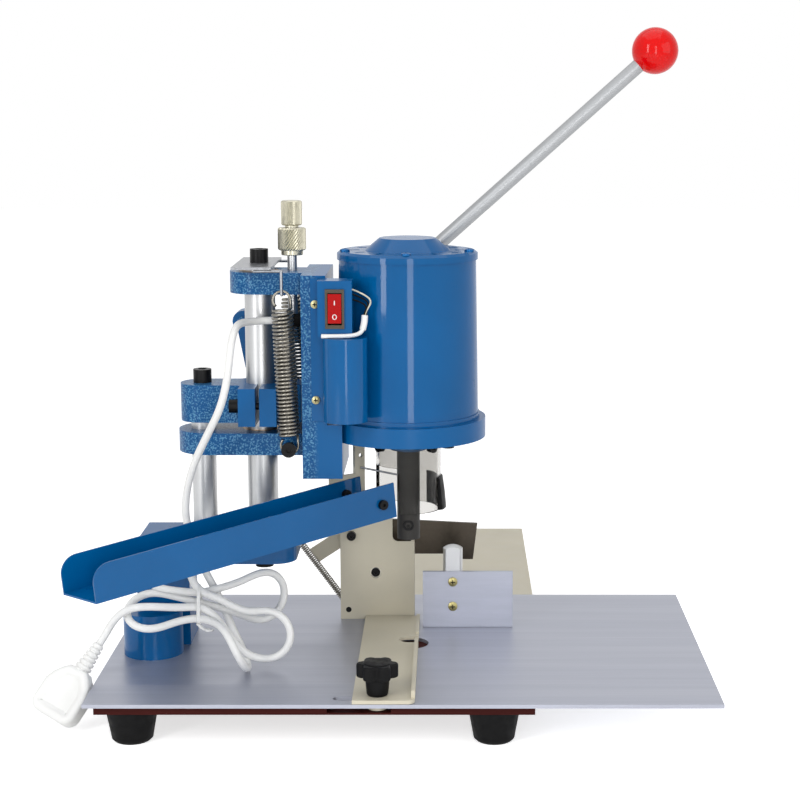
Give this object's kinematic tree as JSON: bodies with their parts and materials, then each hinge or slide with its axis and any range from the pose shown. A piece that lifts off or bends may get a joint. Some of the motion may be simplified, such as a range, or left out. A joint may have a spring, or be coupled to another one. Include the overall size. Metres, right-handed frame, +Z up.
{
  "type": "electric paper drill",
  "caption": "Desk-top electric paper drill: motor head on two columns fed down by a ball lever, return springs, chip chute, brushed table with side gauge and back stop.",
  "frame": {"origin": "middle of the footprint without the cord, on the floor", "axes": "+Z up, -Y towards the operator, +X to the right of the operator"},
  "size_m": [0.5391, 0.5892, 0.5497],
  "materials": {
    "blue_cast": "hammered gloss paint",
    "blue_sheet": "gloss paint",
    "cream_paint": "satin paint",
    "table_metal": "brushed",
    "bright_steel": "ground and polished",
    "grey_steel": "plain",
    "dark_steel": "blackened",
    "nickel": "knurled, nickel plated",
    "yellow_zinc": "yellow passivated",
    "black_steel": "black oxide",
    "black_rubber": "matte",
    "black_plastic": "matte",
    "red_plastic": "gloss",
    "white_plastic": "soft gloss",
    "clear_plastic": "clear",
    "bronze": "machined",
    "board": "red-brown stain"
  },
  "bodies": {
    "base": {"table_plate": "table_metal", "base_board": "board", "rear_plate": "cream_paint", "rubber_feet": "black_rubber", "pedestal": "blue_cast", "lower_block": "blue_cast", "main_column": "bright_steel", "guide_column": "bright_steel", "cap_screws": "black_steel", "clamp_block": "blue_cast", "socket_screws": "black_steel", "spring_plate": "grey_steel", "link_pin": "grey_steel", "support_post": "cream_paint", "brace_arm": "cream_paint", "brace_spring": "black_steel", "rear_shield": "dark_steel", "return_springs": "grey_steel", "cord_lead": "white_plastic", "cord_hank": "white_plastic", "cord_tail": "white_plastic", "plug_body": "white_plastic", "plug_blades": "grey_steel"},
    "head": {"head_casting": "blue_cast", "guide_bushes": "bronze", "spring_screws": "black_steel", "motor_shell": "blue_sheet", "motor_cap": "blue_sheet", "pan_screws": "yellow_zinc", "stator": "grey_steel", "bearings": "bright_steel", "guard_tube": "clear_plastic", "guard_strip": "black_plastic", "black_screws": "black_steel", "chip_bracket": "cream_paint", "chip_finger": "grey_steel", "chip_chute": "blue_sheet", "control_panel": "blue_sheet", "switch_box": "blue_sheet", "switch_bezel": "black_plastic", "capacitor_cover": "blue_sheet", "capacitor": "white_plastic", "lever_pin": "grey_steel", "cord_gland": "black_rubber"},
    "rocker": {"rocker": "red_plastic"},
    "spindle": {"rotor": "grey_steel", "spindle": "dark_steel", "drill_chuck": "dark_steel"},
    "depth_rod": {"depth_rod": "bright_steel"},
    "depth_knob": {"depth_knob": "nickel"},
    "lock_nut": {"lock_nut": "nickel"},
    "lever": {"lever_arm": "blue_cast", "lever_rod": "bright_steel", "lever_ball": "red_plastic"},
    "link": {"link": "blue_cast"},
    "side_gauge": {"side_gauge": "cream_paint"},
    "star_knob": {"star_knob": "black_plastic"},
    "back_stop": {"back_stop": "table_metal", "stop_post": "bright_steel", "stop_screws": "yellow_zinc"}
  },
  "joints": [
    {"name": "head_slide", "type": "slide", "parent": "base", "child": "head", "axis": [0, 0, -1], "range_m": [0, 0.05], "stiffness_N_per_m": 1500, "springref_m": -0.16, "deforming": ["return_springs", "cord_lead"]},
    {"name": "lever_turn", "type": "hinge", "parent": "head", "child": "lever", "pos_m": [-0.06191, -0.03341, 0.285], "axis": [0, 1, 0], "range_deg": [0, 46]},
    {"name": "link_turn", "type": "hinge", "parent": "lever", "child": "link", "pos_m": [-0.13491, -0.05191, 0.304], "axis": [0, 1, 0], "range_deg": [-17, 0]},
    {"name": "spindle_spin", "type": "hinge", "parent": "head", "child": "spindle", "pos_m": [0.00609, -0.10541, 0.186], "axis": [0, 0, 1], "continuous": true},
    {"name": "rocker_tilt", "type": "hinge", "parent": "head", "child": "rocker", "pos_m": [-0.04941, -0.16841, 0.3285], "axis": [1, 0, 0], "range_deg": [0, 9]},
    {"name": "depth_screw", "type": "slide", "parent": "head", "child": "depth_rod", "axis": [0, 0, 1], "range_m": [0, 0.005]},
    {"name": "depth_knob_turn", "type": "hinge", "parent": "depth_rod", "child": "depth_knob", "pos_m": [-0.08791, -0.10541, 0.399], "axis": [0, 0, 1], "range_deg": [0, 1441]},
    {"name": "lock_nut_turn", "type": "hinge", "parent": "depth_rod", "child": "lock_nut", "pos_m": [-0.08791, -0.10541, 0.378], "axis": [0, 0, 1], "continuous": true},
    {"name": "side_gauge_slide", "type": "slide", "parent": "base", "child": "side_gauge", "axis": [1, 0, 0], "range_m": [-0.03, 0.002]},
    {"name": "star_knob_turn", "type": "hinge", "parent": "side_gauge", "child": "star_knob", "pos_m": [-0.01491, -0.24541, 0.056], "axis": [0, 0, 1], "continuous": true},
    {"name": "back_stop_slide", "type": "slide", "parent": "base", "child": "back_stop", "axis": [0, 1, 0], "range_m": [0, 0.033]}
  ],
  "couplings": [
    {"joint": "lever_turn", "follows": "head_slide", "rad_per_m": 15.99},
    {"joint": "link_turn", "follows": "head_slide", "rad_per_m": -5.77},
    {"joint": "depth_knob_turn", "follows": "depth_screw", "rad_per_m": 5026.5}
  ]
}
